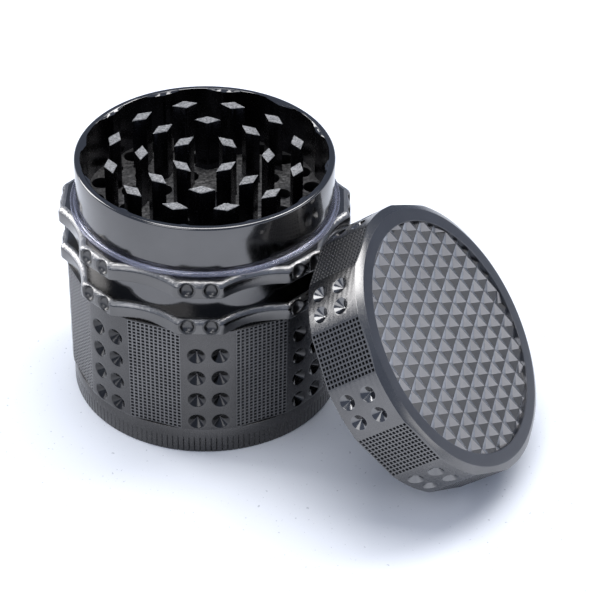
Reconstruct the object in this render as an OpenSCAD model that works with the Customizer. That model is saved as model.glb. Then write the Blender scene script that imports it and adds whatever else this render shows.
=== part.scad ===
// Four-piece hand grinder: base cup, storage body, grinding tier and lid.
// The body stands on its base; the lid is off and leans on the tier's upper flange.

/* [Overall] */
// Height from the rest face to the collar's rim
total_h = 57; // [50:0.5:64]
// Corner radius of the eight-lobed flanges
flange_r = 31.3; // [30.6:0.1:34]
// Radius of the turned wall of the storage body
body_r = 29.95; // [29.2:0.05:30.5]
// Radius of the coin-edged foot of the base cup
foot_r = 29.6; // [28.5:0.05:30]

/* [Storage body] */
// Height of the foot, where the storage body begins
foot_h = 6.5; // [5:0.5:9]
// Top of the storage body, under the lower flange
body_top = 32.85; // [30:0.05:36]
// Turn of the storage body about its axis
body_turn = 0.35; // [-22.5:0.01:22.5]
// Mouth radius of the conical dimples
dimple_r = 1.95; // [1.2:0.05:2.2]
// Depth of the conical dimples
dimple_depth = 1.5; // [0.6:0.05:2]
// Height of the lowest row of dimples
row_first = 8.9; // [8.5:0.1:12]
// Height between two rows of dimples
row_step = 6; // [4.5:0.1:7]
// Angle of a dimple column from the middle of its panel
dimple_half_angle = 4.8; // [3.5:0.05:6]
// Number of grooves round the coin-edged foot
coin_grooves = 156; // [48:4:160]

/* [Grinding tier] */
// Turn of the grinding tier about its axis
tier_turn = -2.95; // [-22.5:0.01:22.5]
// Outside radius of the smooth collar
collar_r = 27.4; // [26.5:0.1:28]
// Bottom and top of the lower flange
lower_flange = [32.9, 36.5]; // [30:0.1:45]
// Bottom and top of the upper flange
upper_flange = [42.2, 45.85]; // [38:0.05:50]
// Radius reached by the scallops between the lobes
scallop_floor_r = 28.9; // [28:0.1:30.5]
// Depth of the bead rounded into the flanges' top edges
bead = 1.1; // [0.5:0.1:1.5]
// Half angle of a lobe's flat
lobe_half_angle = 9; // [6:0.5:12]
// Depth of the grinding chamber below the rim
chamber_depth = 12; // [6:0.1:14]
// Radii of the three rings of teeth
tooth_rings = [6.5, 13.3, 20]; // [5:0.1:22]
// Length of a tooth along its ring
tooth_len = 5.6; // [4:0.1:7]
// Width of a tooth across its ring
tooth_wid = 2.8; // [2:0.1:4]

/* [Lid] */
// Place of the centre of the lid's outer face, east and north of the body's axis
lid_at = [50.61, -30.34]; // [-80:0.01:80]
// Lean of the lid's axis away from upright
lid_tilt = 50.66; // [0:0.01:90]
// Compass direction the lid's outer face looks towards
lid_heading = -21.71; // [-180:0.01:180]
// Turn of the lid about its own axis
lid_turn = 32.2; // [-45:0.01:45]
// Outside radius of the lid
lid_r = 29.8; // [29:0.1:30.5]
// Depth of the lid from its face to its open edge
lid_h = 13.4; // [12:0.1:16]
// Inside radius of the lid, round the tier's collar
lid_bore_r = 27.6; // [27.5:0.05:28]
// Radius of the shallow recess in the lid's face
recess_r = 25.4; // [22:0.1:26]
// Spacing of the pyramid pits in the recess
pit_pitch = 3.75; // [2.5:0.05:6]
// Depth of a pyramid pit
pit_depth = 0.8; // [0.3:0.05:1.2]
// Turn of the rows of pits about the lid's axis
pit_turn = 7.7; // [-45:0.1:45]
// Shift of the rows of pits along and across themselves
pit_shift = [1.53, 1.02]; // [-2:0.01:2]

/* [Hidden] */
$fn = 96;
eps = 0.01;
metal = [0.30, 0.30, 0.32];
dark_metal = [0.22, 0.22, 0.24];
thread_gap = 0.08;          // radial clearance in both screw joints
foot_neck_r = 25.9;         // male thread of the base cup
neck_r = 26.05;             // male thread of the grinding tier
chamber_r = 25.1;           // storage chamber wall
tier_bore_r = 23.6;         // inside of the tier's threaded neck
upper_bore_r = 25.7;        // wider space between the neck and the chamber floor
neck_bottom = 29;
floor_top = total_h - chamber_depth;
floor_under = floor_top - 2.2;
flat_apothem = cos(11.25);  // flats touch the turned wall at the panel corners
scallop_half = 22.5 - lobe_half_angle;
chord_mid = flange_r * cos(scallop_half);
chord_half = flange_r * sin(scallop_half);
sag = chord_mid - scallop_floor_r;
scallop_r = (chord_half * chord_half + sag * sag) / (2 * sag);
lid_z = lid_h * cos(lid_tilt) + lid_r * sin(lid_tilt) + 0.02;
lid_plate = 2.7;            // thickness of the lid's top
ceiling = -lid_plate;

// Half-round notches round a disc, as on the edge of a coin
module coin_outline(r, count) {
    difference() {
        circle(r = r, $fn = 180);
        for (i = [0 : count - 1])
            rotate(i * 360 / count) translate([r + 0.1, 0]) circle(r = 0.38, $fn = 24);
    }
}

// Eight flats between eight turned panels
module flats(r, z0, z1) {
    for (k = [0 : 7])
        rotate([0, 0, 22.5 + 45 * k])
            translate([r * flat_apothem, -r / 2, z0 - 1]) cube([r / 2, r, z1 - z0 + 2]);
}

// One conical dimple in a wall of radius r, at angle a and height z
module dimple(r, a, z, mouth, deep) {
    rotate([0, 0, a]) translate([r, 0, z]) rotate([0, -90, 0])
        translate([0, 0, -1])
            cylinder(r1 = mouth * (deep + 1) / deep, r2 = 0.02, h = deep + 1, $fn = 48);
}

// Outline of the flanges: flat lobes joined by shallow scallops
module flange_outline(grow = 0) {
    difference() {
        circle(r = flange_r + grow + 1, $fn = 180);
        for (k = [0 : 7]) {
            rotate(45 * k) translate([flange_r * cos(lobe_half_angle) + grow, -10])
                square([10, 20]);
            rotate(22.5 + 45 * k) translate([scallop_floor_r + scallop_r + grow, 0])
                circle(r = scallop_r, $fn = 120);
        }
    }
}

// Rhombic post standing on z0, long side along its ring
module tooth(ring, a, z0, z1) {
    rotate([0, 0, a]) translate([ring, 0, z0])
        linear_extrude(z1 - z0)
            polygon([[tooth_wid / 2, 0], [0, tooth_len / 2], [-tooth_wid / 2, 0], [0, -tooth_len / 2]]);
}

// Outline of the grinding chamber: twelve hollows meeting in cusps
module chamber_outline() {
    circle(r = 25.4, $fn = 180);
    for (k = [0 : 11]) rotate(15 + 23.2 + 30 * k) translate([13.1, 0]) circle(r = 13.1, $fn = 120);
}

// Row of V grooves lying along x, one period for each pit
module v_grooves() {
    n = ceil(recess_r / pit_pitch) + 2;
    rotate([90, 0, 90]) translate([0, 0, -2 * recess_r])
        linear_extrude(4 * recess_r)
            for (i = [-n : n - 1])
                translate([i * pit_pitch, 0])
                    polygon([[0, 0.3], [0, 0], [pit_pitch / 2, -pit_depth], [pit_pitch, 0], [pit_pitch, 0.3]]);
}

// Field of square pyramid pits, filling the recess
module pits() {
    intersection() {
        cylinder(r = recess_r, h = 4, center = true);
        rotate([0, 0, pit_turn]) translate([0, pit_shift[1], 0]) v_grooves();
        rotate([0, 0, pit_turn]) translate([pit_shift[0], 0, 0]) rotate([0, 0, 90]) v_grooves();
    }
}

// Foot of the grinder: catches the finest dust, screws up into the storage body
module base_cup() {
    color(metal) difference() {
        union() {
            cylinder(r1 = foot_r - 0.2, r2 = foot_r - 0.02, h = 0.2);
            translate([0, 0, 0.19]) linear_extrude(4.01) coin_outline(foot_r, coin_grooves);
            translate([0, 0, 4.1]) cylinder(r = foot_r, h = foot_h - 4.1 - 0.05);
            cylinder(r = foot_neck_r, h = foot_h + 3.5);
        }
        translate([0, 0, 1.6]) cylinder(r1 = 23, r2 = 24.2, h = 1.2 + eps);
        translate([0, 0, 2.8]) cylinder(r = 24.2, h = foot_h + 2);
    }
}

// Storage body: knurled flats and dimpled panels outside, chamber and two female threads inside
module storage_body() {
    color(metal) rotate([0, 0, body_turn]) difference() {
        union() {
            translate([0, 0, foot_h]) cylinder(r1 = body_r - 0.2, r2 = body_r, h = 0.2);
            translate([0, 0, foot_h + 0.2]) cylinder(r = body_r, h = body_top - foot_h - 0.4);
            translate([0, 0, body_top - 0.2]) cylinder(r1 = body_r, r2 = body_r - 0.2, h = 0.2);
        }
        flats(body_r, foot_h, body_top);
        for (k = [0 : 7]) for (s = [-1, 1]) for (j = [0 : 3])
            dimple(body_r, 45 * k + s * dimple_half_angle, row_first + j * row_step, dimple_r, dimple_depth);
        translate([0, 0, foot_h - 1]) cylinder(r = foot_neck_r + thread_gap, h = 4.6);
        translate([0, 0, foot_h]) cylinder(r = 22.8, h = 20);
        translate([0, 0, 12]) cylinder(r = chamber_r, h = 20);
        translate([0, 0, neck_bottom - 0.4]) cylinder(r = neck_r + thread_gap, h = 20);
        translate([0, 0, body_top - 0.5])
            cylinder(r1 = neck_r + thread_gap, r2 = neck_r + thread_gap + 0.6, h = 0.6);
    }
}

// Round of woven wire mesh that lets the finest dust through
module screen_mesh() {
    color([0.62, 0.62, 0.60]) translate([0, 0, 12.02]) cylinder(r = chamber_r - 0.06, h = 0.3);
}

// Ring that holds the screen down on its ledge
module screen_ring() {
    color(dark_metal) translate([0, 0, 12.34]) difference() {
        union() {
            cylinder(r = chamber_r - 0.06, h = 1.1);
            translate([0, 0, 1.1]) cylinder(r1 = chamber_r - 0.06, r2 = chamber_r - 0.36, h = 0.3);
        }
        translate([0, 0, -1]) cylinder(r = 23.4, h = 4);
    }
}

// Grinding tier: neck, tube with two lobed flanges, chamber floor and teeth
module grinding_tier() {
    color(dark_metal) rotate([0, 0, tier_turn]) difference() {
        union() {
            translate([0, 0, neck_bottom]) cylinder(r = neck_r, h = 8);
            for (f = [lower_flange, upper_flange]) {
                translate([0, 0, f[0]]) linear_extrude(f[1] - f[0] - bead) flange_outline();
                translate([0, 0, f[1] - bead]) linear_extrude(0.32 * bead) flange_outline(-0.18 * bead);
                translate([0, 0, f[1] - 0.68 * bead]) linear_extrude(0.27 * bead) flange_outline(-0.4 * bead);
                translate([0, 0, f[1] - 0.41 * bead]) linear_extrude(0.23 * bead) flange_outline(-0.68 * bead);
                translate([0, 0, f[1] - 0.18 * bead]) linear_extrude(0.18 * bead) flange_outline(-1.3 * bead);
            }
            translate([0, 0, lower_flange[0]]) cylinder(r = collar_r, h = total_h - 0.4 - lower_flange[0]);
            translate([0, 0, total_h - 0.4]) cylinder(r1 = collar_r, r2 = collar_r - 0.4, h = 0.4);
        }
        // grinding chamber
        translate([0, 0, floor_top]) linear_extrude(chamber_depth + 1) chamber_outline();
        translate([0, 0, total_h - 0.3]) cylinder(r1 = 25.8, r2 = 26.6, h = 0.8);
        // space below the floor
        translate([0, 0, neck_bottom - 1]) cylinder(r = tier_bore_r, h = lower_flange[0] + 1.2 - neck_bottom + 1);
        translate([0, 0, lower_flange[0] + 1]) cylinder(r1 = tier_bore_r - 0.2, r2 = upper_bore_r, h = 1.5);
        translate([0, 0, lower_flange[0] + 2.5 - eps]) cylinder(r = upper_bore_r, h = floor_under - lower_flange[0] - 2.5 + eps);
        // drop holes
        for (k = [0 : 23]) rotate([0, 0, 15 * k]) translate([23.5, 0, floor_under - 1]) cylinder(r = 2, h = 5);
        for (k = [0 : 15]) rotate([0, 0, 11.25 + 22.5 * k]) translate([16.5, 0, floor_under - 1]) cylinder(r = 1.95, h = 5);
        for (k = [0 : 7]) rotate([0, 0, 22.5 + 45 * k]) translate([10, 0, floor_under - 1]) cylinder(r = 2, h = 5);
        // seat of the magnet
        translate([0, 0, floor_top - 1.6]) cylinder(r = 4.05, h = 2);
        for (f = [lower_flange, upper_flange]) for (k = [0 : 7]) for (s = [-1, 1])
            dimple(flange_r * cos(lobe_half_angle), 45 * k + s * 4.55, f[0] + 1.3, 1.15, 0.95);
    }
    color(dark_metal) rotate([0, 0, tier_turn]) {
        for (k = [0 : 3]) tooth(tooth_rings[0], 45 + 90 * k, floor_top - 0.5, total_h);
        for (k = [0 : 7]) tooth(tooth_rings[1], 45 * k, floor_top - 0.5, total_h);
        for (k = [0 : 11]) tooth(tooth_rings[2], 15 + 30 * k, floor_top - 0.5, total_h);
    }
}

// Disc magnet in the middle of the chamber floor
module tier_magnet() {
    color([0.12, 0.12, 0.13]) translate([0, 0, floor_top - 1.55]) {
        cylinder(r = 4, h = 1.4);
        translate([0, 0, 1.4]) cylinder(r1 = 4, r2 = 3.85, h = 0.15);
    }
}

// Slippery plastic ring between the tier's upper flange and the lid
module friction_ring() {
    color([0.62, 0.66, 0.86, 0.8]) translate([0, 0, upper_flange[1] + 0.03]) rotate_extrude()
        difference() {
            translate([collar_r + 0.05, 0]) square([1.2, 0.7]);
            translate([collar_r + 0.62, 0.86]) circle(r = 0.3, $fn = 32);
        }
}

// Places its children in the lid's own frame: outer face at z = 0, looking along +z
module in_lid_frame() {
    translate([lid_at[0], lid_at[1], lid_z]) rotate([0, lid_tilt, lid_heading]) children();
}

// Lid: knurled flats and dimpled panels round a cap with pyramid pits in its face and teeth inside
module lid_shell() {
    color(metal) in_lid_frame() {
        difference() {
            rotate([0, 0, lid_turn]) difference() {
                union() {
                    translate([0, 0, -0.95]) cylinder(r1 = lid_r, r2 = lid_r - 1.65, h = 0.95);
                    translate([0, 0, -lid_h + 0.2]) cylinder(r = lid_r, h = lid_h - 1.15 + eps);
                    translate([0, 0, -lid_h]) cylinder(r1 = lid_r - 0.2, r2 = lid_r, h = 0.2);
                }
                flats(lid_r, -lid_h, 0);
                for (k = [0 : 7]) for (s = [-1, 1]) for (d = [4.95, 10.2])
                    dimple(lid_r, 45 * k + s * 4.45, -d, 1.75, 1.2);
            }
            translate([0, 0, -0.5]) cylinder(r = recess_r, h = 2);
            translate([0, 0, -0.5]) pits();
            translate([0, 0, -lid_h - 1]) cylinder(r = lid_bore_r, h = lid_h + 1 - lid_plate);
            translate([0, 0, -lid_h - eps]) cylinder(r1 = lid_bore_r + 0.5, r2 = lid_bore_r, h = 0.5);
            translate([0, 0, ceiling - 1]) cylinder(r = 4.05, h = 1.8);
        }
        rotate([0, 0, lid_turn]) {
            for (k = [0 : 5]) tooth(9.9, 60 * k, ceiling - 6, ceiling + 0.5);
            for (k = [0 : 7]) tooth(16.65, 45 * k + 20, ceiling - 6, ceiling + 0.5);
            for (k = [0 : 11]) tooth(23.35, 30 * k, ceiling - 6, ceiling + 0.5);
        }
    }
}

// Disc magnet in the middle of the lid's ceiling
module lid_magnet() {
    color([0.12, 0.12, 0.13]) in_lid_frame() translate([0, 0, ceiling - 0.55]) {
        translate([0, 0, 0]) cylinder(r1 = 3.85, r2 = 4, h = 0.15);
        translate([0, 0, 0.15]) cylinder(r = 4, h = 1.15);
    }
}

base_cup();
storage_body();
screen_mesh();
screen_ring();
grinding_tier();
tier_magnet();
friction_ring();
lid_shell();
lid_magnet();
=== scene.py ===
import math
import random

import bmesh
import bpy
import numpy as np
from mathutils import Matrix, Vector
from mathutils.geometry import delaunay_2d_cdt


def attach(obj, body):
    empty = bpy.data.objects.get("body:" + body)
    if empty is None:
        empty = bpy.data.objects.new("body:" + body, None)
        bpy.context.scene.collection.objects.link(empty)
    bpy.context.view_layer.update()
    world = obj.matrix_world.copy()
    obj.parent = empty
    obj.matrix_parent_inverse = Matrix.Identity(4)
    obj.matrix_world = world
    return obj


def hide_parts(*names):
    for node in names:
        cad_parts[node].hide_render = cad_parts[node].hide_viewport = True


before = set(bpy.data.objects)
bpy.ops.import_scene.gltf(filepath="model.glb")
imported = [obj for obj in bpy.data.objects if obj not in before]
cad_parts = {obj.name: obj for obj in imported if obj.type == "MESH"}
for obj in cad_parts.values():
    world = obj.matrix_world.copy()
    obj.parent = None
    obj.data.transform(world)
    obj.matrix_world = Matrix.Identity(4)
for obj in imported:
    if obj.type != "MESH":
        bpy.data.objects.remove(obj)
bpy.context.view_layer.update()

MM = 0.001

# ---------------------------------------------------------------- sizes, in millimetres and degrees
# base cup
FOOT_R, FOOT_H = 29.6, 6.5
FOOT_NECK_R, FOOT_NECK_TOP = 25.9, 10.0
COIN_GROOVES, COIN_DEEP = 156, 0.13
CUP_BORE_R, CUP_FLOOR = 24.2, 1.6
# storage body, whose turned panels and knurled flats alternate
BODY_R, BODY_TOP, BODY_TURN = 29.95, 32.85, 0.35
HALF_PANEL = 11.25                      # half the angle of a panel or of a flat
ARC_STEPS, FLAT_STEPS = 24, 12
STORE_R, LEDGE_R, LEDGE_Z = 25.1, 22.8, 12.0
# dimples: degrees from the panel's middle, heights, radius and depth
BODY_DIMPLES = (4.8, (8.9, 14.8, 20.7, 26.6), 1.95, 1.5)
LID_DIMPLES = (4.45, (-4.95, -10.2), 1.75, 1.35)
KNURL_DEEP, KNURL_LAND = 0.5, 0.17
# both screws
THREAD_PITCH, THREAD_ROW, THREAD_FADE, THREAD_GAP = 1.5, 0.14, 0.4, 0.08
# screen
WIRE_PITCH, WIRE, WIRE_SWAY, SCREEN_Z = 0.62, 0.085, 0.045, 12.17
# grinding tier
TIER_TURN, RIM_Z, COLLAR_R = -2.95, 57.0, 27.4
WALL_R, WALL_CUSP, WALL_PARTS = 26.2, 23.2, 12    # scalloped chamber wall: radius, first corner, arcs
NECK_R, NECK_BOTTOM, TIER_BORE_R = 26.05, 29.0, 23.6
FLOOR_TOP, FLOOR_UNDER, UPPER_BORE_R = 45.0, 42.8, 25.7
FLANGES = ((32.9, 36.5), (42.2, 45.85))
FLANGE_R, HOLLOW_R = 31.3, 28.9
LOBE_HALF, LOBE_FLAT = 9.0, 4.4         # half the angle of a lobe, and half the width of its flat front
FLANGE_APOTHEM = FLANGE_R * math.cos(math.radians(LOBE_HALF))
FLANGE_DIMPLES = (4.55, 1.95, 1.85, 1.0)    # as above, with one height, from the flange's underside
BEAD, TOE = 1.45, 0.35                  # rounding of a flange's top and bottom edges
BEAD_TURNS = list(range(0, 89, 8)) + [90]
BEAD_HIGHLIGHT_START = 3                          # the step of BEAD_TURNS where the bead's brighter metal, a painted highlight, begins
# drop holes: radius of the ring, first angle, number and radius of the holes
DROP_RINGS = ((23.5, 0.0, 24, 2.0), (16.5, 11.25, 16, 1.95), (10.0, 22.5, 8, 2.0))
# teeth: radius of the ring, first angle and number
TOOTH_LEN, TOOTH_WID = 5.6, 2.8
TIER_TEETH = ((6.5, 45, 4), (13.3, 0, 8), (20.0, 15, 12))
LID_TEETH = ((9.9, 0, 6), (16.65, 20, 8), (23.35, 0, 12))
LID_TOOTH_H = 6.0
MAGNET_R, SEAT_R = 4.0, 4.06
# lid, in its own frame: its patterned face is at height 0 and its open edge below
LID_R, LID_H, LID_BORE_R, LID_PLATE = 29.8, 13.4, 27.6, 2.7
LID_BORE_LOW = -6.0                     # where the upper and the lower half of the bore's wall meet
LID_FACE_R, LID_CHAMFER = 28.15, 0.95
RECESS_R, RECESS_DEEP = 25.4, 0.5
PIT_PITCH, PIT_DEEP, PIT_LAND, PIT_TURN, PIT_SHIFT = 3.75, 0.8, 0.06, 7.7, (1.53, 1.02)
LID_AT, LID_TILT, LID_HEADING, LID_TURN = (50.61, -30.34), 50.66, -21.71, 32.2

HOLE_STEPS = 28                         # sides of every round hole and dimple
# profile of a dimple from its edge to its tip: share of its radius, and share of its depth
PLAIN_CONE = ((1.0, 0.0), (0.975, 0.008), (0.94, 0.035), (0.895, 0.085), (0.5, 0.5), (0.09, 0.94))
RINGED_CONE = ((1.0, 0.0), (0.97, 0.02), (0.93, 0.05), (0.80, 0.14), (0.77, 0.20), (0.74, 0.33), (0.66, 0.56),
               (0.52, 0.78), (0.34, 0.92), (0.1, 0.99))


# ---------------------------------------------------------------- mesh building
class Build:
    """Collects faces in millimetres and turns them into one welded, smooth-shaded piece."""

    def __init__(self, *materials):
        self.materials = list(materials)
        self.points, self.faces, self.slots, self.count = [], [], [], 0

    def add(self, points, faces=(), material=None):
        """Adds points with faces between them, and gives the number of the first point."""
        points = np.asarray(points, float).reshape(-1, 3)
        first = self.count
        self.points.append(points)
        self.count += len(points)
        self.add_faces(first, faces, material)
        return first

    def add_faces(self, first, faces, material=None):
        slot = self.materials.index(material) if material else 0
        self.faces += [tuple(first + i for i in face) for face in faces]
        self.slots += [slot] * len(faces)

    def loft(self, rows, material=None, closed=True):
        """Quads between rows of points that have the same length."""
        n = len(rows[0])
        faces = []
        for j in range(len(rows) - 1):
            a, b = j * n, (j + 1) * n
            for i in range(n if closed else n - 1):
                k = (i + 1) % n
                faces.append((a + i, a + k, b + k, b + i))
        self.add(np.vstack(rows), faces, material)

    def cap(self, row, material=None):
        """Fan that closes a row of points."""
        row = np.asarray(row, float)
        n = len(row)
        self.add(np.vstack([row, row.mean(0)]), [(i, (i + 1) % n, n) for i in range(n)], material)

    def make(self, name, body, node, slot, place=None, angle=30, weld=0.004):
        """Makes the piece, which rides on a body and stands for a CAD node; the slot argument is not used."""
        points = np.vstack(self.points)
        if place is not None:
            points = place(points)
        mesh = bpy.data.meshes.new(name)
        mesh.from_pydata((points * MM).tolist(), [], self.faces)
        mesh.polygons.foreach_set("material_index", self.slots)
        for material in self.materials:
            mesh.materials.append(material)
        weld_mesh(mesh, weld * MM)
        mesh.polygons.foreach_set("use_smooth", [True] * len(mesh.polygons))
        mesh.set_sharp_from_angle(angle=math.radians(angle))
        piece = bpy.data.objects.new(name, mesh)
        bpy.context.scene.collection.objects.link(piece)
        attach(piece, body)
        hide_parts(node)


def weld_mesh(mesh, distance):
    """Joins points closer than a distance, removes what is left loose, and turns the faces outwards."""
    bm = bmesh.new()
    bm.from_mesh(mesh)
    bmesh.ops.remove_doubles(bm, verts=bm.verts, dist=distance)
    bmesh.ops.dissolve_degenerate(bm, dist=distance * 0.5, edges=bm.edges)
    loose = [v for v in bm.verts if not v.link_faces]
    bmesh.ops.delete(bm, geom=loose, context="VERTS")
    bmesh.ops.recalc_face_normals(bm, faces=bm.faces)
    bm.to_mesh(mesh)
    bm.free()


def around(count):
    """Evenly spaced angles for one turn."""
    return np.arange(count) * 360.0 / count


def ring(angles, radii, z):
    """Points round the axis; radii and heights are numbers or arrays."""
    a = np.radians(np.asarray(angles, float))
    r = np.broadcast_to(radii, a.shape)
    return np.stack([r * np.cos(a), r * np.sin(a), np.broadcast_to(z, a.shape)], 1)


def turned(build, profile, angles, material=None):
    """Surface through rings given as (radii, heights)."""
    build.loft([ring(angles, r, z) for r, z in profile], material)


def circle(x, y, radius):
    steps = [2 * math.pi * i / HOLE_STEPS for i in range(HOLE_STEPS)]
    return [(x + radius * math.cos(a), y + radius * math.sin(a)) for a in steps]


def at_height(loop, z):
    return [(x, y, z) for x, y in loop]


def clear_of(points, holes, margin):
    """The points that lie outside every hole by more than a margin."""
    return [(x, y) for x, y in points
            if all(math.hypot(x - hx, y - hy) > radius + margin for hx, hy, radius in holes)]


def triangulate(outline, holes, inner):
    """Triangles between an outline, round holes (x, y, radius) and inner points.

    Gives the points, whether each is an inner one, the triangles and the loop of each hole."""
    points = [(p[0], p[1]) for p in outline]
    n = len(points)
    edges = [(i, (i + 1) % n) for i in range(n)]
    loops = [circle(*hole) for hole in holes]
    for loop in loops:
        start = len(points)
        points += loop
        edges += [(start + i, start + (i + 1) % HOLE_STEPS) for i in range(HOLE_STEPS)]
    fixed = len(points)
    points = [(float(x), float(y)) for x, y in points + inner]
    out, _, found, origins, _, _ = delaunay_2d_cdt(points, edges, [list(range(n))], 1, 1e-6)
    loose = [all(i >= fixed for i in origin) for origin in origins]
    triangles = []
    for t in found:
        x, y = sum(out[i][0] for i in t) / 3, sum(out[i][1] for i in t) / 3
        if all(math.hypot(x - hx, y - hy) > radius * 0.99 for hx, hy, radius in holes):
            triangles.append(tuple(t))
    return [(p[0], p[1]) for p in out], loose, triangles, loops


def dimpled(build, place, us, vs, dimples, material, cone_material, cone=PLAIN_CONE, above=None):
    """Sheet over a grid of (u, v) with conical dimples (u, v, radius, depth).

    place(u, v, down) gives a point; above = (v, material) gives the faces higher than v another material."""
    outline = [(u, vs[0]) for u in us] + [(us[-1], v) for v in vs[1:]]
    outline += [(u, vs[-1]) for u in us[-2::-1]] + [(us[0], v) for v in vs[-2:0:-1]]
    holes = [(u, v, radius) for u, v, radius, _ in dimples]
    inner = clear_of([(u, v) for u in us[1:-1] for v in vs[1:-1]], holes, 0.25)
    points, _, triangles, loops = triangulate(outline, holes, inner)
    low, high = [], []
    for t in triangles:
        middle = sum(points[i][1] for i in t) / 3
        (high if above and middle > above[0] else low).append(t)
    first = build.add([place(u, v, 0.0) for u, v in points], low, material)
    if above:
        build.add_faces(first, high, above[1])
    for (hu, hv, _, deep), loop in zip(dimples, loops):
        rows = []
        for share, down in cone:
            rows.append([place(hu + (u - hu) * share, hv + (v - hv) * share, deep * down) for u, v in loop])
        build.loft(rows, cone_material)
        build.cap(rows[-1], cone_material)


def knurled(build, place, us, vs, land_material, pit_material):
    """Grid of small square pits with narrow flat lands between them; the pits take a darker metal, painted
    shade.
    """
    points = [place(u, v, 0.0) for v in vs for u in us]
    lands, pits = [], []
    for j in range(len(vs) - 1):
        for i in range(len(us) - 1):
            du, dv = (us[i + 1] - us[i]) * KNURL_LAND, (vs[j + 1] - vs[j]) * KNURL_LAND
            u0, u1, v0, v1 = us[i] + du, us[i + 1] - du, vs[j] + dv, vs[j + 1] - dv
            tip = len(points) + 4
            points += [place(u0, v0, 0), place(u1, v0, 0), place(u1, v1, 0), place(u0, v1, 0)]
            points.append(place((us[i] + us[i + 1]) / 2, (vs[j] + vs[j + 1]) / 2, KNURL_DEEP))
            a, b = j * len(us) + i, (j + 1) * len(us) + i
            corners = (a, a + 1, b + 1, b)
            for k in range(4):
                q = (k + 1) % 4
                lands.append((corners[k], corners[q], tip - 4 + q, tip - 4 + k))
                pits.append((tip - 4 + k, tip - 4 + q, tip))
    first = build.add(points, lands, land_material)
    build.add_faces(first, pits, pit_material)


def plate(build, outline, level, holes, material, spacing=0.0, rough=0.0, limit=25.0):
    """Plate with round holes (x, y, radius), flat or, with a spacing, slightly rough out to a limit."""
    local = random.Random(11)
    inner = []
    if spacing:
        m = int(limit / spacing) + 1
        for i in range(-m, m + 1):
            for j in range(-m, m + 1):
                x = (i + local.uniform(-0.3, 0.3)) * spacing
                y = (j + local.uniform(-0.3, 0.3)) * spacing
                if math.hypot(x, y) < limit:
                    inner.append((x, y))
    points, loose, triangles, loops = triangulate(outline, holes, clear_of(inner, holes, spacing * 0.45))
    lifts = [local.uniform(-rough, rough) if free else 0.0 for free in loose]
    build.add([(x, y, level + lift) for (x, y), lift in zip(points, lifts)], triangles, material)
    return loops


def on_arc(radius, middle):
    """Place for a turned panel: u runs round the wall from its middle, v is height."""
    def place(u, v, down):
        a = math.radians(middle) + u / radius
        r = radius - down
        return (r * math.cos(a), r * math.sin(a), v)
    return place


def on_flat(apothem, middle):
    """Place for a flat panel: u runs along the chord, v is height."""
    c, s = math.cos(math.radians(middle)), math.sin(math.radians(middle))

    def place(u, v, down):
        r = apothem - down
        return (r * c - u * s, r * s + u * c, v)
    return place


def on_bead(apothem, middle, start):
    """Place for the front of a lobe: flat up to the start, then rolling inwards over the bead."""
    flat = on_flat(apothem, middle)

    def place(u, v, down):
        t = min(max((v - start) / BEAD, 0.0), math.pi / 2)
        inset = BEAD * (1 - math.cos(t))
        z = v if v <= start else start + BEAD * math.sin(t)
        return flat(u * (apothem - inset) / apothem, z, inset + down)
    return place


# ---------------------------------------------------------------- materials
MIX_FACTOR, MIX_A, MIX_B, MIX_COLOUR = 0, 6, 7, 2    # a Mix node's sockets when it blends colours


def new_material(name):
    material = bpy.data.materials.new(name)
    material.use_nodes = True
    tree = material.node_tree
    return material, tree, tree.nodes["Principled BSDF"]


def link(tree, a, b):
    tree.links.new(a, b)


def coords(tree, turn=(0, 0, 0)):
    source = tree.nodes.new("ShaderNodeTexCoord")
    mapping = tree.nodes.new("ShaderNodeMapping")
    mapping.inputs["Rotation"].default_value = turn
    link(tree, source.outputs["Object"], mapping.inputs["Vector"])
    return mapping.outputs["Vector"]


def noise(tree, vector, scale, detail=4.0, rough=0.6):
    node = tree.nodes.new("ShaderNodeTexNoise")
    node.inputs["Scale"].default_value = scale
    node.inputs["Detail"].default_value = detail
    node.inputs["Roughness"].default_value = rough
    link(tree, vector, node.inputs["Vector"])
    return node.outputs["Fac"]


def ramp(tree, value, low, high, at=(0.3, 0.7)):
    node = tree.nodes.new("ShaderNodeMapRange")
    node.inputs["From Min"].default_value = at[0]
    node.inputs["From Max"].default_value = at[1]
    node.inputs["To Min"].default_value = low
    node.inputs["To Max"].default_value = high
    link(tree, value, node.inputs["Value"])
    return node.outputs["Result"]


def blend_colour(tree, factor, a, b):
    node = tree.nodes.new("ShaderNodeMix")
    node.data_type = "RGBA"
    node.inputs[MIX_A].default_value = (*a, 1)
    node.inputs[MIX_B].default_value = (*b, 1)
    link(tree, factor, node.inputs[MIX_FACTOR])
    return node.outputs[MIX_COLOUR]


def add_bump(tree, height, strength, distance, normal=None):
    node = tree.nodes.new("ShaderNodeBump")
    node.inputs["Strength"].default_value = strength
    node.inputs["Distance"].default_value = distance
    link(tree, height, node.inputs["Height"])
    if normal is not None:
        link(tree, normal, node.inputs["Normal"])
    return node.outputs["Normal"]


def add_lines(tree, normal):
    """Fine machining lines on top of a bump."""
    node = tree.nodes.new("ShaderNodeTexWave")
    node.wave_type = "BANDS"
    node.bands_direction = "X"
    node.inputs["Scale"].default_value = 260.0
    node.inputs["Distortion"].default_value = 1.5
    node.inputs["Detail"].default_value = 2.0
    node.inputs["Detail Scale"].default_value = 2.0
    link(tree, coords(tree, turn=(0.0, 0.75, 0.5)), node.inputs["Vector"])
    return add_bump(tree, node.outputs["Fac"], 0.25, 0.00004, normal)


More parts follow.
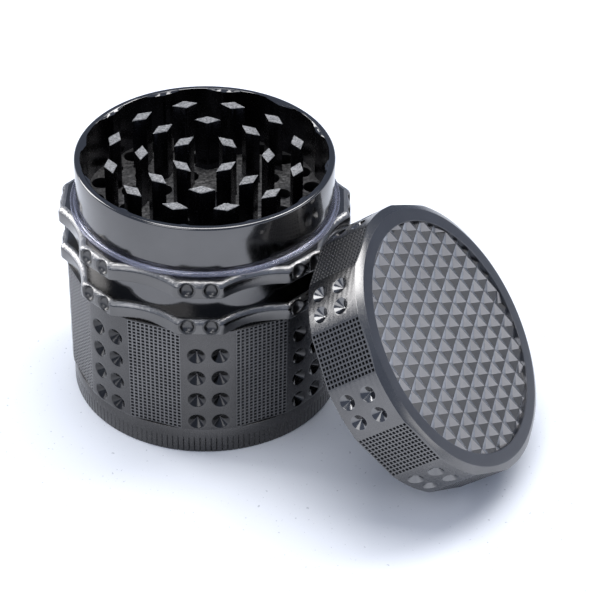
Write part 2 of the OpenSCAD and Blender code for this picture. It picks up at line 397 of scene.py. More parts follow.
def metal(name, dark, light, rough, bump=0.1, grain=2200.0, grain_size=0.00003, cloud=60.0, lines=False):
    """Plated metal: a soft change of tone, a fine grain and, if asked for, machining lines."""
    material, tree, shader = new_material(name)
    shader.inputs["Metallic"].default_value = 1.0
    vector = coords(tree)
    tone = ramp(tree, noise(tree, vector, cloud, 3.0), 0, 1)
    fine = noise(tree, vector, grain, 2.0)
    link(tree, blend_colour(tree, tone, dark, light), shader.inputs["Base Color"])
    link(tree, ramp(tree, fine, rough[0], rough[1], (0.25, 0.75)), shader.inputs["Roughness"])
    normal = add_bump(tree, fine, bump, grain_size)
    if lines:
        normal = add_lines(tree, normal)
    link(tree, normal, shader.inputs["Normal"])
    return material


def plastic(name, dark, light):
    """Clear tinted plastic with a slight grain."""
    material, tree, shader = new_material(name)
    vector = coords(tree)
    tone = ramp(tree, noise(tree, vector, 90.0), 0, 1)
    fine = noise(tree, vector, 900.0, 2.0)
    link(tree, blend_colour(tree, tone, dark, light), shader.inputs["Base Color"])
    link(tree, ramp(tree, fine, 0.10, 0.18), shader.inputs["Roughness"])
    shader.inputs["Transmission Weight"].default_value = 0.85
    shader.inputs["IOR"].default_value = 1.5
    link(tree, add_bump(tree, fine, 0.1, 0.00003), shader.inputs["Normal"])
    return material


GUN_DARK, GUN_LIGHT = (0.080, 0.078, 0.077), (0.104, 0.101, 0.100)
BASE = metal("base_metal", GUN_DARK, GUN_LIGHT, (0.24, 0.34), grain=2600.0)
BODY = metal("satin_body_metal", GUN_DARK, GUN_LIGHT, (0.24, 0.34), grain=2600.0)
# Darker metal in the body's dimples: painted shade.
DIMPLE_PAINTED_SHADE = metal("dimple_painted_shade_metal", (0.045, 0.044, 0.044), (0.065, 0.064, 0.064), (0.16, 0.24), bump=0.08)
KNURL = metal("knurl_land_metal", (0.135, 0.133, 0.133), (0.18, 0.177, 0.176), (0.34, 0.44), bump=0.08)
# Darker metal in the knurl's pits: painted shade.
KNURL_PIT_PAINTED_SHADE = metal("knurl_pit_painted_shade_metal", (0.045, 0.045, 0.047), (0.06, 0.06, 0.062), (0.28, 0.38), bump=0.08)
POLISHED = metal("polished_tier_metal", (0.118, 0.116, 0.116), (0.140, 0.138, 0.138), (0.10, 0.16), bump=0.05,
                 grain=1500.0)
FLANGE = metal("flange_metal", (0.115, 0.112, 0.110), (0.15, 0.147, 0.145), (0.15, 0.24), bump=0.3,
               grain=1800.0, grain_size=0.00006)
# Brighter metal on the top of each flange's bead: painted highlight.
BEAD_PAINTED_HIGHLIGHT = metal("bead_painted_highlight_metal", (0.17, 0.166, 0.163), (0.38, 0.372, 0.365), (0.26, 0.40), bump=0.9,
                    grain=1500.0, grain_size=0.00014)
LOBE = metal("lobe_metal", (0.11, 0.107, 0.105), (0.17, 0.166, 0.163), (0.18, 0.28), bump=0.7,
             grain=1500.0, grain_size=0.0001)
# Darker metal in the flange dimples: painted shade.
LOBE_CUP_PAINTED_SHADE = metal("flange_cup_painted_shade_metal", (0.08, 0.078, 0.077), (0.12, 0.118, 0.116), (0.26, 0.38), bump=0.4,
                 grain=1700.0, grain_size=0.00008)
CAST_FLOOR = metal("cast_floor_metal", (0.045, 0.044, 0.044), (0.17, 0.167, 0.165), (0.42, 0.6), bump=0.7,
                   grain=1500.0, grain_size=0.0002, cloud=1400.0)
# Near-black metal for the tooth sides and the chamber wall: painted shade of the deep chamber.
TOOTH_PAINTED_SHADE = metal("tooth_side_painted_shade_metal", (0.045, 0.044, 0.050), (0.065, 0.064, 0.070), (0.20, 0.30))
TOOTH_TIP = metal("tooth_tip_metal", (0.12, 0.118, 0.117), (0.46, 0.455, 0.45), (0.46, 0.66), bump=0.8,
                  grain=2600.0, grain_size=0.00013, cloud=2800.0)
LID_FACE = metal("satin_lid_metal", (0.115, 0.115, 0.12), (0.135, 0.135, 0.141), (0.28, 0.38), grain=2600.0)
LID_SIDE = metal("lid_panel_metal", (0.12, 0.1175, 0.117), (0.17, 0.1665, 0.165), (0.24, 0.34), lines=True)
LID_EDGE = metal("lid_chamfer_metal", (0.14, 0.1375, 0.136), (0.18, 0.177, 0.175), (0.18, 0.26))
# Brighter metal in the lid's dimples: painted light, a lit copy of the dimple metal.
LID_DIMPLE_PAINTED_LIGHT = metal("lid_dimple_painted_light_metal", (0.15, 0.148, 0.148), (0.19, 0.188, 0.188), (0.12, 0.2), bump=0.05)
# Four copies of one pit metal, lighter, darker, bluish and brightest, for the four sides of the lid's pyramid
# pits: painted light, painted shade, painted reflection and painted highlight.
PIT_PAINTED_LIT = metal("pit_painted_lit_metal", (0.25, 0.243, 0.242), (0.295, 0.287, 0.286), (0.30, 0.40))
PIT_PAINTED_SHADE = metal("pit_painted_shade_metal", (0.085, 0.084, 0.085), (0.10, 0.099, 0.10), (0.30, 0.40))
PIT_PAINTED_REFLECTION = metal("pit_painted_reflection_metal", (0.30, 0.31, 0.335), (0.35, 0.36, 0.385), (0.30, 0.40))
PIT_PAINTED_HIGHLIGHT = metal("pit_painted_highlight_metal", (0.42, 0.43, 0.45), (0.50, 0.51, 0.53), (0.30, 0.40))
INSIDE = metal("inner_metal", (0.07, 0.07, 0.073), (0.09, 0.09, 0.093), (0.3, 0.45))
MAGNET = metal("magnet_metal", (0.05, 0.05, 0.053), (0.08, 0.08, 0.083), (0.25, 0.4))
SCREEN_WIRE = metal("screen_wire_metal", (0.50, 0.50, 0.48), (0.62, 0.62, 0.60), (0.2, 0.3), bump=0.0)
SLIP = plastic("slip_plastic_violet", (0.56, 0.57, 0.70), (0.68, 0.69, 0.82))


# ---------------------------------------------------------------- shared parts
def screw_thread(build, radius, deep, heights, free_end, angles):
    """Rounded ridge that winds round a neck and fades out towards its free end."""
    rows = []
    for z in heights:
        phase = (z / THREAD_PITCH - angles / 360.0) % 1.0
        ridge = np.clip(np.abs(phase - 0.5) * 4 - 0.55, 0, 1)
        ridge = ridge * ridge * (3 - 2 * ridge)
        fade = min(1.0, abs(z - free_end) / THREAD_FADE)
        rows.append(ring(angles, radius - deep + deep * ridge * fade, z))
    build.loft(rows, INSIDE)


def panel_outline(radius, turn):
    """Angles and radii round an outline of eight turned panels and eight flats."""
    angles, radii = [], []
    apothem = radius * math.cos(math.radians(HALF_PANEL))
    half = radius * math.sin(math.radians(HALF_PANEL))
    for k in range(8):
        for i in range(ARC_STEPS):
            angles.append(turn + 45 * k - HALF_PANEL + 2 * HALF_PANEL * i / ARC_STEPS)
            radii.append(radius)
        for i in range(FLAT_STEPS):
            u = -half + 2 * half * i / FLAT_STEPS
            angles.append(turn + 45 * k + 22.5 + math.degrees(math.atan2(u, apothem)))
            radii.append(math.hypot(u, apothem))
    return np.array(angles), np.array(radii)


def panel_wall(build, radius, turn, heights, dimples, panel_material, cone_material):
    """Eight turned panels, each with two columns of dimples, and eight knurled flats between them."""
    column, levels, dimple_r, deep = dimples
    half_arc = radius * math.radians(HALF_PANEL)
    half_chord = radius * math.sin(math.radians(HALF_PANEL))
    apothem = radius * math.cos(math.radians(HALF_PANEL))
    us_arc = np.linspace(-half_arc, half_arc, ARC_STEPS + 1)
    us_flat = np.linspace(-half_chord, half_chord, FLAT_STEPS + 1)
    off = radius * math.radians(column)
    cones = [(side * off, z, dimple_r, deep) for side in (-1, 1) for z in levels]
    for k in range(8):
        middle = turn + 45 * k
        dimpled(build, on_arc(radius, middle), us_arc, heights, cones, panel_material, cone_material)
        knurled(build, on_flat(apothem, middle + 22.5), us_flat, heights, KNURL, KNURL_PIT_PAINTED_SHADE)


def tooth(build, radius, angle, z_foot, z_tip, seed):
    """Rhombic tooth with slightly uneven edges, near-black sides painted as shade, and a grainy tip."""
    local = random.Random(seed)
    corners = [(TOOTH_WID / 2, 0), (0, TOOTH_LEN / 2), (-TOOTH_WID / 2, 0), (0, -TOOTH_LEN / 2)]
    loop = []
    for i in range(4):
        a, c = corners[i], corners[(i + 1) % 4]
        for t in [0.035] + [s / 7 for s in range(1, 7)] + [0.965]:
            loop.append((a[0] + (c[0] - a[0]) * t, a[1] + (c[1] - a[1]) * t))
    ca, sa = math.cos(math.radians(angle)), math.sin(math.radians(angle))

    def put(x, y, z):
        return (ca * (radius + x) - sa * y, sa * (radius + x) + ca * y, z)

    # fillet at the foot, straight sides, and a worn edge round the tip
    up = 1 if z_tip > z_foot else -1
    sides = ((1.10, z_foot), (1.03, z_foot + up * 0.55), (1.0, z_foot + up * 0.9), (1.0, z_tip - up * 0.12))
    rows = [[put(x * grow, y * grow, z) for x, y in loop] for grow, z in sides]
    # the sides take the near-black tooth metal: painted shade
    build.loft(rows, TOOTH_PAINTED_SHADE)
    worn = []
    for x, y in loop:
        worn.append((x * (0.965 + local.uniform(-0.05, 0.045)), y * (0.965 + local.uniform(-0.05, 0.035))))
    build.loft([rows[-1], [put(x, y, z_tip) for x, y in worn]], TOOTH_TIP)
    grains, grain = [], 0.28
    for i in range(-10, 11):
        for j in range(-12, 13):
            x, y = i * grain + local.uniform(-0.07, 0.07), j * grain + local.uniform(-0.07, 0.07)
            if abs(x) / (TOOTH_WID / 2) + abs(y) / (TOOTH_LEN / 2) < 0.86:
                grains.append((x, y))
    points, loose, triangles, _ = triangulate(worn, [], grains)
    lifts = [up * local.uniform(-0.05, 0.03) if free else 0.0 for free in loose]
    build.add([put(x, y, z_tip + lift) for (x, y), lift in zip(points, lifts)], triangles, TOOTH_TIP)


def teeth(build, turn, rings, z_foot, z_tip, first_seed=0):
    """Rings of teeth, each tooth worn in its own way."""
    for radius, first, count in rings:
        for k in range(count):
            angle = turn + first + 360 / count * k
            tooth(build, radius, angle, z_foot, z_tip, int(radius * 100) + first_seed + k)


def magnet_seat(build, loop, mouth, bottom):
    """Round pocket that a magnet is set in."""
    build.loft([at_height(loop, mouth), at_height(loop, bottom)], INSIDE)
    build.cap(at_height(loop, bottom), INSIDE)


def magnet(back, face, back_edge, angles):
    """Disc magnet with eased edges, from its back to its face."""
    build = Build(MAGNET)
    out = 1 if face > back else -1
    turned(build, [(0.3, back), (MAGNET_R - 0.2, back), (MAGNET_R, back + out * back_edge),
                   (MAGNET_R, face - out * 0.2), (MAGNET_R - 0.07, face - out * 0.06), (MAGNET_R - 0.2, face),
                   (1.5, face), (0.3, face)], angles)
    build.cap(ring(angles, 0.3, back))
    build.cap(ring(angles, 0.3, face))
    return build


# ---------------------------------------------------------------- base cup
def make_base_cup():
    build = Build(BASE, INSIDE)
    steps = 8
    angles = around(COIN_GROOVES * steps)
    cut = np.zeros(COIN_GROOVES * steps)
    cut[steps // 2::steps] = COIN_DEEP
    foot = [(0.4, 0.0), (15.0, 0.0), (FOOT_R - 0.5, 0.0), (FOOT_R - 0.22 - cut * 0.5, 0.03),
            (FOOT_R - 0.07 - cut, 0.12), (FOOT_R - cut, 0.3), (FOOT_R - cut, 3.85), (FOOT_R - cut * 0.5, 4.0),
            (FOOT_R, 4.1), (FOOT_R, FOOT_H - 0.3), (FOOT_R - 0.06, FOOT_H - 0.12),
            (FOOT_R - 0.2, FOOT_H - 0.05), (FOOT_NECK_R - 0.3, FOOT_H - 0.05)]
    turned(build, foot, angles, BASE)
    build.cap(ring(angles[::24], 0.4, 0.0), BASE)
    few, deep = around(180), 0.42
    heights = np.arange(FOOT_H - 0.2, FOOT_NECK_TOP - 0.05, THREAD_ROW)
    screw_thread(build, FOOT_NECK_R, deep, heights, heights[-1], few)
    inside = [(FOOT_NECK_R - deep, heights[-1]), (FOOT_NECK_R - 0.55, FOOT_NECK_TOP),
              (CUP_BORE_R + 0.2, FOOT_NECK_TOP), (CUP_BORE_R, FOOT_NECK_TOP - 0.2), (CUP_BORE_R, 3.2),
              (24.0, 2.6), (23.5, 2.0), (22.8, 1.7), (21.9, CUP_FLOOR), (10.0, CUP_FLOOR), (0.4, CUP_FLOOR)]
    turned(build, inside, few, INSIDE)
    build.cap(ring(few, 0.4, CUP_FLOOR), INSIDE)
    build.make("base_cup_detail", "base", "base_cup", "base_metal")


# ---------------------------------------------------------------- storage body
def make_storage_body():
    build = Build(BODY, DIMPLE_PAINTED_SHADE, KNURL, INSIDE, KNURL_PIT_PAINTED_SHADE)
    low, high = FOOT_H + 0.25, BODY_TOP - 0.2
    # the body's dimples take the darker dimple metal, painted shade
    panel_wall(build, BODY_R, BODY_TURN, np.linspace(low, high, 31), BODY_DIMPLES, BODY, DIMPLE_PAINTED_SHADE)
    angles, radii = panel_outline(BODY_R, BODY_TURN)
    lower_r, upper_r = FOOT_NECK_R + THREAD_GAP, NECK_R + THREAD_GAP
    under = [(radii, low), (radii - 0.07, FOOT_H + 0.08), (radii - 0.22, FOOT_H), (lower_r, FOOT_H)]
    lower_end, upper_end = FOOT_NECK_TOP + 0.1, NECK_BOTTOM - 0.4
    inside = [(lower_r, FOOT_H), (lower_r, lower_end), (LEDGE_R, lower_end), (LEDGE_R, LEDGE_Z),
              (STORE_R, LEDGE_Z), (STORE_R, upper_end), (upper_r, upper_end), (upper_r, BODY_TOP - 0.5),
              (NECK_R + 0.6, BODY_TOP)]
    top = [(NECK_R + 0.6, BODY_TOP), (radii - 0.2, BODY_TOP), (radii - 0.06, BODY_TOP - 0.06), (radii, high)]
    turned(build, under, angles, BODY)
    turned(build, inside, angles, INSIDE)
    turned(build, top, angles, BODY)
    build.make("storage_body_detail", "storage", "storage_body", "body_metal")


# ---------------------------------------------------------------- screen
def make_screen_mesh():
    """Wires woven over and under each other in two directions."""
    build = Build(SCREEN_WIRE)
    radius, sides = STORE_R - 0.2, 4
    count = int(radius / WIRE_PITCH)
    for direction in (0, 1):
        for i in range(-count, count + 1):
            off = i * WIRE_PITCH
            half = math.sqrt(max(radius ** 2 - off ** 2, 0.01))
            steps = max(2, int(2 * half / (WIRE_PITCH / 2)))
            rows = []
            for j in range(steps + 1):
                along = -half + 2 * half * j / steps
                lift = WIRE_SWAY * math.cos(math.pi * (along / WIRE_PITCH + i + direction))
                loop = []
                for s in range(sides):
                    a = 2 * math.pi * (s + 0.5) / sides
                    across, up = off + WIRE / 2 * math.cos(a), WIRE / 2 * math.sin(a)
                    x, y = (across, along) if direction else (along, across)
                    loop.append((x, y, SCREEN_Z + lift + up))
                rows.append(loop)
            build.loft(rows)
    build.make("screen_mesh_detail", "screen", "screen_mesh", "screen_wire", weld=0.0005, angle=60)


def make_screen_ring():
    build = Build(INSIDE)
    r = STORE_R - 0.06
    profile = [(23.5, 12.34), (r - 0.1, 12.34), (r, 12.44), (r, 13.3), (r - 0.08, 13.5), (r - 0.34, 13.72),
               (23.7, 13.74), (23.48, 13.66), (23.4, 13.5), (23.4, 12.44), (23.5, 12.34)]
    turned(build, profile, around(240))
    build.make("screen_ring_detail", "screen", "screen_ring", "ring_metal")


# ---------------------------------------------------------------- grinding tier
def lobe_stations():
    """Degrees from one lobe's middle to the next: flat, corner, hollow, corner, flat."""
    flat = [math.degrees(math.atan(LOBE_FLAT / FLANGE_APOTHEM * t)) for t in (0, 0.2, 0.4, 0.6, 0.8, 1.0)]
    corner = [flat[-1] + (12.0 - flat[-1]) * i / 12 for i in range(1, 13)]
    hollow = [12.0 + 21.0 * i / 16 for i in range(1, 16)]
    return flat + corner + hollow + [45 - d for d in reversed(corner)] + [45 - d for d in reversed(flat[1:])]


def lobed(inset):
    """Angles and radii of a flange's outline, moved inwards by an inset, with its corners softened."""
    span = math.radians(22.5 - LOBE_HALF)
    half_chord = FLANGE_R * math.sin(span)
    sag = FLANGE_R * math.cos(span) - HOLLOW_R
    hollow_r = (half_chord ** 2 + sag ** 2) / (2 * sag)
    centre = HOLLOW_R + hollow_r
    flat_end = math.atan(LOBE_FLAT / FLANGE_APOTHEM) + 1e-6
    angles, radii = [], []
    for k in range(8):
        for d in lobe_stations():
            off_lobe = math.radians(22.5 - abs(22.5 - d))
            off_hollow = math.radians(22.5) - off_lobe
            flat = (FLANGE_APOTHEM - inset) / math.cos(off_lobe)
            reach = (hollow_r + inset) ** 2 - (centre * math.sin(off_hollow)) ** 2
            hollow = centre * math.cos(off_hollow) - math.sqrt(max(reach, 0))
            radii.append(flat if off_lobe < flat_end else soft_minimum(flat, hollow))
            angles.append(45 * k + d)
    return np.array(angles) + TIER_TURN, np.array(radii)


def soft_minimum(a, b, soft=0.22, near=30):
    """The smaller of two radii near 30, rounded over where they are about the same."""
    return near - soft * math.log(math.exp((near - a) / soft) + math.exp((near - b) / soft))


def add_collar(build, angles, wall):
    """Polished collar, rim with a small ledge inside it, and the scalloped wall of the chamber in near-black
    metal, painted shade.
    """
    lip, ledge = np.maximum(wall, 26.12), np.maximum(wall, 25.8)
    foot = FLANGES[1][1]
    outside = [(COLLAR_R - 0.02, foot - 0.4), (COLLAR_R - 0.02, foot + 0.25), (COLLAR_R, 48.0),
               (COLLAR_R, 50.0), (COLLAR_R, 53.5), (COLLAR_R, RIM_Z - 0.5), (COLLAR_R - 0.04, RIM_Z - 0.31),
               (COLLAR_R - 0.15, RIM_Z - 0.15), (COLLAR_R - 0.31, RIM_Z - 0.04), (COLLAR_R - 0.5, RIM_Z),
               (lip + 0.06, RIM_Z), (lip - 0.02, RIM_Z - 0.05), (ledge, RIM_Z - 0.34), (wall, RIM_Z - 0.4)]
    turned(build, outside, angles, POLISHED)
    # the chamber wall takes the near-black tooth metal: painted shade
    turned(build, [(wall, RIM_Z - 0.4), (wall, FLOOR_TOP - 0.1)], angles, TOOTH_PAINTED_SHADE)


def add_flange(build, low, high):
    """Eight flat-fronted lobes with two dimples each, hollows between them and a rounded bead on top, its
    upper part in brighter metal as painted highlight.
    """
    wall_low, wall_high = low + TOE, high - BEAD
    foot, head = [], []
    for t in map(math.radians, (90, 60, 30, 0)):
        foot.append(ring(*lobed(TOE * (1 - math.cos(t))), wall_low - TOE * math.sin(t)))
    for t in map(math.radians, BEAD_TURNS):
        head.append(ring(*lobed(BEAD * (1 - math.cos(t))), wall_high + BEAD * math.sin(t)))
    angles, radii = lobed(0.0)
    build.loft([ring(angles, 27.0, low)] + foot, FLANGE)
    build.loft([ring(*lobed(BEAD), high), ring(angles, COLLAR_R - 0.01, high)], FLANGE)
    wall = [ring(angles, radii, wall_low)] + head[:BEAD_HIGHLIGHT_START + 1]
    bead = head[BEAD_HIGHLIGHT_START:]
    column, level, dimple_r, deep = FLANGE_DIMPLES
    off = FLANGE_APOTHEM * math.tan(math.radians(column))
    cones = [(side * off, low + level, dimple_r, deep) for side in (-1, 1)]
    us = [LOBE_FLAT * (i / 5) for i in range(-5, 6)]
    vs = [wall_low] + [wall_high + BEAD * math.radians(t) for t in BEAD_TURNS]
    highlight_from = wall_high + BEAD * math.radians(BEAD_TURNS[BEAD_HIGHLIGHT_START])
    stations = len(lobe_stations())
    for k in range(8):
        # the corners and the hollow run from the end of one flat to the start of the next
        between = [(k * stations + i) % (8 * stations) for i in range(5, stations - 4)]
        build.loft([row[between] for row in wall], FLANGE, closed=False)
        # the bead's upper rows take the brighter metal: painted highlight
        build.loft([row[between] for row in bead], BEAD_PAINTED_HIGHLIGHT, closed=False)
        dimpled(build, on_bead(FLANGE_APOTHEM, TIER_TURN + 45 * k, wall_high), us, vs, cones, LOBE, LOBE_CUP_PAINTED_SHADE,
                cone=RINGED_CONE, above=(highlight_from, BEAD_PAINTED_HIGHLIGHT))


def add_neck(build):
    """Tube between the flanges, screwed neck and the bore that widens below the chamber floor."""
    angles, deep = around(240), 0.45
    turned(build, [(COLLAR_R, FLANGES[0][1] - 0.1), (COLLAR_R, FLANGES[1][0] + 0.1)], angles, POLISHED)
    heights = np.arange(NECK_BOTTOM + 0.05, FLANGES[0][0] + 0.2, THREAD_ROW)
    screw_thread(build, NECK_R, deep, heights, heights[0], angles)
    bore = [(NECK_R - deep, heights[0]), (NECK_R - 0.6, NECK_BOTTOM), (TIER_BORE_R + 0.2, NECK_BOTTOM),
            (TIER_BORE_R, NECK_BOTTOM + 0.2), (TIER_BORE_R, FLANGES[0][0] + 1.15),
            (UPPER_BORE_R, FLANGES[0][0] + 2.5), (UPPER_BORE_R, FLOOR_UNDER)]
    turned(build, bore, angles, INSIDE)


def drop_holes():
    """Centres and radii of the holes in the chamber floor."""
    holes = []
    for ring_r, first, count, radius in DROP_RINGS:
        for k in range(count):
            a = math.radians(TIER_TURN + first + 360 / count * k)
            holes.append((ring_r * math.cos(a), ring_r * math.sin(a), radius))
    return holes


def add_chamber_floor(build, angles, wall):
    """Floor with drop holes and a magnet seat: rough as cast on top, machined beneath."""
    holes = drop_holes()
    outline = ring(angles, wall + 0.02, 0)[::4]
    tops = plate(build, outline, FLOOR_TOP, holes + [(0.0, 0.0, SEAT_R)], CAST_FLOOR, spacing=0.5, rough=0.07)
    unders = plate(build, ring(around(240), UPPER_BORE_R, 0), FLOOR_UNDER, holes, INSIDE)
    for (hx, hy, _), top, under in zip(holes, tops, unders):
        bore = [(hx + (x - hx) * 0.97, hy + (y - hy) * 0.97) for x, y in top]
        build.loft([at_height(top, FLOOR_TOP), at_height(bore, FLOOR_TOP - 0.12),
                    at_height(bore, FLOOR_UNDER + 0.1), at_height(under, FLOOR_UNDER)], INSIDE)
    magnet_seat(build, tops[-1], FLOOR_TOP, FLOOR_TOP - 1.6)


def make_grinding_tier():
    build = Build(POLISHED, CAST_FLOOR, TOOTH_PAINTED_SHADE, TOOTH_TIP, INSIDE, LOBE_CUP_PAINTED_SHADE, FLANGE, BEAD_PAINTED_HIGHLIGHT, LOBE)
    part = 360 / WALL_PARTS
    angles = TIER_TURN + WALL_CUSP + part + around(WALL_PARTS * 28)
    wall = WALL_R * np.cos(np.radians((angles - TIER_TURN - WALL_CUSP) % part - part / 2))
    add_collar(build, angles, wall)
    for low, high in FLANGES:
        add_flange(build, low, high)
    add_neck(build)
    add_chamber_floor(build, angles, wall)
    teeth(build, TIER_TURN, TIER_TEETH, FLOOR_TOP - 0.1, RIM_Z - 0.02)
    build.make("grinding_tier_detail", "tier", "grinding_tier", "tier_metal")


def make_tier_magnet():
    build = magnet(FLOOR_TOP - 1.55, FLOOR_TOP - 0.02, 0.15, around(144))
    build.make("tier_magnet_detail", "tier_carrier", "tier_magnet", "magnet")


def make_friction_ring():
    """Clear ring at the collar's foot, with two rounded ribs on top."""
    build = Build(SLIP)
    r, z = COLLAR_R + 0.05, FLANGES[1][1] + 0.03
    profile = [(0.0, 0.0), (1.1, 0.0), (1.2, 0.1), (1.2, 0.5), (1.14, 0.64), (1.0, 0.7), (0.86, 0.64),
               (0.76, 0.5), (0.6, 0.44), (0.44, 0.5), (0.34, 0.64), (0.2, 0.7), (0.05, 0.68), (0.0, 0.6),
               (0.0, 0.0)]
    turned(build, [(r + out, z + up) for out, up in profile], around(360))
    build.make("friction_ring_detail", "tier_carrier", "friction_ring", "slip_plastic", angle=50)


# ---------------------------------------------------------------- lid
def lid_matrix():
    """From the lid's own frame to where it leans, with its lowest edge on the floor."""
    tilt, heading = math.radians(LID_TILT), math.radians(LID_HEADING)
    z = LID_H * math.cos(tilt) + LID_R * math.sin(tilt) + 0.02
    turns = Matrix.Rotation(heading, 4, "Z") @ Matrix.Rotation(tilt, 4, "Y")
    return np.array(Matrix.Translation((*LID_AT, z)) @ turns)


def in_lid_frame(points):
    matrix = lid_matrix()
    return points @ matrix[:3, :3].T + matrix[:3, 3]


def clip_to_circle(polygon, radius, sides=144):
    """Clips a convex polygon of (x, y, z) points to a round outline."""
    for i in range(sides):
        a = 2 * math.pi * (i + 0.5) / sides
        nx, ny, limit = math.cos(a), math.sin(a), radius * math.cos(math.pi / sides)
        past = [p[0] * nx + p[1] * ny - limit for p in polygon]
        if max(past) <= 0:
            continue
        out = []
        for j, p in enumerate(polygon):
            q, dp, dq = polygon[(j + 1) % len(polygon)], past[j], past[(j + 1) % len(polygon)]
            if dp <= 0:
                out.append(p)
            if dp * dq < 0:
                t = dp / (dp - dq)
                out.append(tuple(p[k] + (q[k] - p[k]) * t for k in range(3)))
        polygon = out
        if len(polygon) < 3:
            return []
    return polygon


def pyramid_field(build, facets, ridge):
    """Square pyramid pits whose four sides get their own lit and shaded colours, painted light and shade,
    with thin ridges between them in the painted shade colour.
    """
    c, s = math.cos(math.radians(PIT_TURN)), math.sin(math.radians(PIT_TURN))
    n = int(RECESS_R / PIT_PITCH) + 2

    def square(x, y, inset):
        x0, x1, y0, y1 = x + inset, x + PIT_PITCH - inset, y + inset, y + PIT_PITCH - inset
        return [put(x0, y0), put(x1, y0), put(x1, y1), put(x0, y1)]

    def put(x, y, z=-RECESS_DEEP):
        return (c * x - s * y, s * x + c * y, z)

    for i in range(-n, n + 1):
        for j in range(-n, n + 1):
            x, y = PIT_SHIFT[0] + i * PIT_PITCH, PIT_SHIFT[1] + j * PIT_PITCH
            outer, inner = square(x, y, 0.0), square(x, y, PIT_LAND)
            tip = put(x + PIT_PITCH / 2, y + PIT_PITCH / 2, -RECESS_DEEP - PIT_DEEP)
            for k in range(4):
                q = (k + 1) % 4
                land, facet = [outer[k], outer[q], inner[q], inner[k]], [inner[k], inner[q], tip]
                for polygon, material in ((land, ridge), (facet, facets[k])):
                    polygon = clip_to_circle(polygon, RECESS_R)
                    if polygon:
                        build.add(polygon, [tuple(range(len(polygon)))], material)


def add_lid_shell(build, angles, radii):
    """Wall with panels and flats, open edge below, chamfer and face above."""
    low, high = 0.25 - LID_H, -LID_CHAMFER
    # the lid's dimples take the brighter dimple metal, painted light
    panel_wall(build, LID_R, LID_TURN, np.linspace(low, high, 15), LID_DIMPLES, LID_SIDE, LID_DIMPLE_PAINTED_LIGHT)
    bore_edge, face_edge = (LID_BORE_R + 0.45, -LID_H), (LID_FACE_R + 0.10, -0.055)
    turned(build, [(LID_BORE_R, LID_BORE_LOW), (LID_BORE_R, 0.45 - LID_H), bore_edge], angles, INSIDE)
    open_edge = [bore_edge, (radii - 0.25, -LID_H), (radii - 0.07, 0.08 - LID_H), (radii, low)]
    turned(build, open_edge, angles, LID_SIDE)
    # the chamfer meets the wall higher on the flats than on the panels
    edge = -(radii - LID_FACE_R) * LID_CHAMFER / (LID_R - LID_FACE_R)
    turned(build, [(radii, high), (radii, edge)], angles, KNURL)
    eased = radii - 0.05 * (radii - LID_FACE_R)
    turned(build, [(radii, edge), (eased, edge * 0.9), face_edge], angles, LID_EDGE)
    face = [face_edge, (LID_FACE_R - 0.04, -0.008), (LID_FACE_R - 0.25, 0.0), (27.0, 0.0),
            (RECESS_R + 0.14, 0.0), (RECESS_R + 0.04, -0.03), (RECESS_R, -0.12),
            (RECESS_R, -RECESS_DEEP - PIT_DEEP - 0.05)]
    turned(build, face, angles, LID_FACE)


def add_lid_inside(build):
    """Bore, underside of the top plate, magnet seat and teeth."""
    angles = around(180)
    bore = [(LID_BORE_R, LID_BORE_LOW), (LID_BORE_R, -LID_PLATE - 0.5),
            (LID_BORE_R - 0.15, -LID_PLATE - 0.15), (LID_BORE_R - 0.5, -LID_PLATE)]
    turned(build, bore, angles, INSIDE)
    seat = plate(build, ring(angles, LID_BORE_R - 0.5, 0), -LID_PLATE, [(0.0, 0.0, SEAT_R)], INSIDE)[0]
    magnet_seat(build, seat, -LID_PLATE, 0.8 - LID_PLATE)
    teeth(build, LID_TURN, LID_TEETH, 0.1 - LID_PLATE, -LID_PLATE - LID_TOOTH_H, first_seed=50)


def make_lid_shell():
    build = Build(LID_FACE, PIT_PAINTED_LIT, LID_SIDE, LID_DIMPLE_PAINTED_LIGHT, KNURL, INSIDE, TOOTH_PAINTED_SHADE, TOOTH_TIP, KNURL_PIT_PAINTED_SHADE, PIT_PAINTED_REFLECTION,
                  PIT_PAINTED_HIGHLIGHT, PIT_PAINTED_SHADE, LID_EDGE)
    add_lid_shell(build, *panel_outline(LID_R, LID_TURN))
    # The pits' sides take painted light, shade, reflection and highlight colours; the ridges take the painted
    # shade.
    pyramid_field(build, (PIT_PAINTED_HIGHLIGHT, PIT_PAINTED_SHADE, PIT_PAINTED_LIT, PIT_PAINTED_REFLECTION), PIT_PAINTED_SHADE)
    add_lid_inside(build)
    build.make("lid_shell_detail", "lid", "lid_shell", "lid_metal", place=in_lid_frame, angle=14)


def make_lid_magnet():
    build = magnet(0.75 - LID_PLATE, -LID_PLATE - 0.55, 0.1, around(180))
    build.make("lid_magnet_detail", "lid_carrier", "lid_magnet", "magnet", place=in_lid_frame)


# ---------------------------------------------------------------- setting
def make_camera():
    camera = bpy.data.cameras.new("camera")
    camera.lens, camera.sensor_width = 126.01, 36.0
    camera.clip_start, camera.clip_end = 0.01, 20
    place = bpy.data.objects.new("camera", camera)
    bpy.context.scene.collection.objects.link(place)
    at = (0.0, -0.369019, 0.298972)
    yaw, pitch, roll = math.radians(3.196), math.radians(37.224), math.radians(1.231)
    ahead = np.array([math.sin(yaw) * math.cos(pitch), math.cos(yaw) * math.cos(pitch), -math.sin(pitch)])
    level = np.array([math.cos(yaw), -math.sin(yaw), 0.0])
    upright = np.cross(level, ahead)
    right = math.cos(roll) * level + math.sin(roll) * upright
    up = math.cos(roll) * upright - math.sin(roll) * level
    place.matrix_world = Matrix([[right[i], up[i], -ahead[i], at[i]] for i in range(3)] + [[0, 0, 0, 1]])
    bpy.context.scene.camera = place


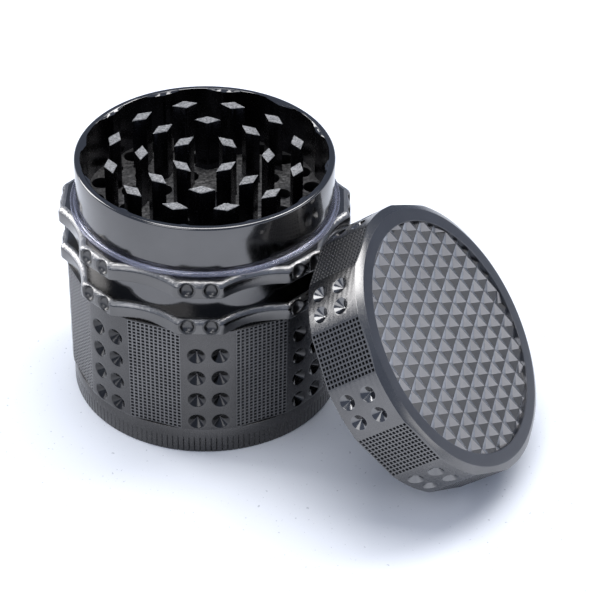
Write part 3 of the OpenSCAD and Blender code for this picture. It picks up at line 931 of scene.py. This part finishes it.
def area_light(name, at, look, size, power):
    light = bpy.data.lights.new(name, "AREA")
    light.shape = "RECTANGLE"
    light.size, light.size_y = size
    light.energy = power
    place = bpy.data.objects.new(name, light)
    bpy.context.scene.collection.objects.link(place)
    place.location = at
    place.rotation_mode = "QUATERNION"
    place.rotation_quaternion = (Vector(look) - Vector(at)).to_track_quat("-Z", "Y")


def make_floor():
    """Pale floor with a few grey specks."""
    half = 3.0
    mesh = bpy.data.meshes.new("floor")
    corners = [(-half, -half, 0), (half, -half, 0), (half, half, 0), (-half, half, 0)]
    mesh.from_pydata(corners, [], [(0, 1, 2, 3)])
    floor = bpy.data.objects.new("floor", mesh)
    bpy.context.scene.collection.objects.link(floor)
    material, tree, shader = new_material("pale_floor")
    clean = ramp(tree, noise(tree, coords(tree), 1100.0, 2.0, 0.5), 0, 1, (0.262, 0.312))
    link(tree, blend_colour(tree, clean, (0.58, 0.60, 0.64), (0.84, 0.86, 0.90)), shader.inputs["Base Color"])
    shader.inputs["Roughness"].default_value = 0.6
    mesh.materials.append(material)


def make_studio():
    """Cool surrounding light and five soft lights."""
    world = bpy.data.worlds.new("studio")
    bpy.context.scene.world = world
    world.use_nodes = True
    world.node_tree.nodes["Background"].inputs["Color"].default_value = (0.63, 0.74, 1.0, 1)
    world.node_tree.nodes["Background"].inputs["Strength"].default_value = 0.45
    area_light("top_soft", (0.04, 0.16, 1.15), (0, 0, 0), (0.8, 0.8), 10)
    area_light("top_right_strip", (0.62, 0.30, 1.02), (0.05, -0.03, 0.03), (0.45, 0.45), 5)
    area_light("front_left_fill", (-0.55, -0.85, 0.85), (0, 0, 0.03), (0.7, 0.7), 3.2)
    area_light("key_left", (-0.95, 0.44, 0.56), (0, 0, 0.03), (0.5, 0.85), 9)
    area_light("right_low", (1.15, -0.22, 0.25), (0, 0, 0.03), (0.55, 0.34), 0.9)
    bpy.context.scene.view_settings.view_transform = "Standard"


make_camera()
make_base_cup()
make_storage_body()
make_screen_mesh()
make_screen_ring()
make_grinding_tier()
make_tier_magnet()
make_friction_ring()
make_lid_shell()
make_lid_magnet()
make_floor()
make_studio()
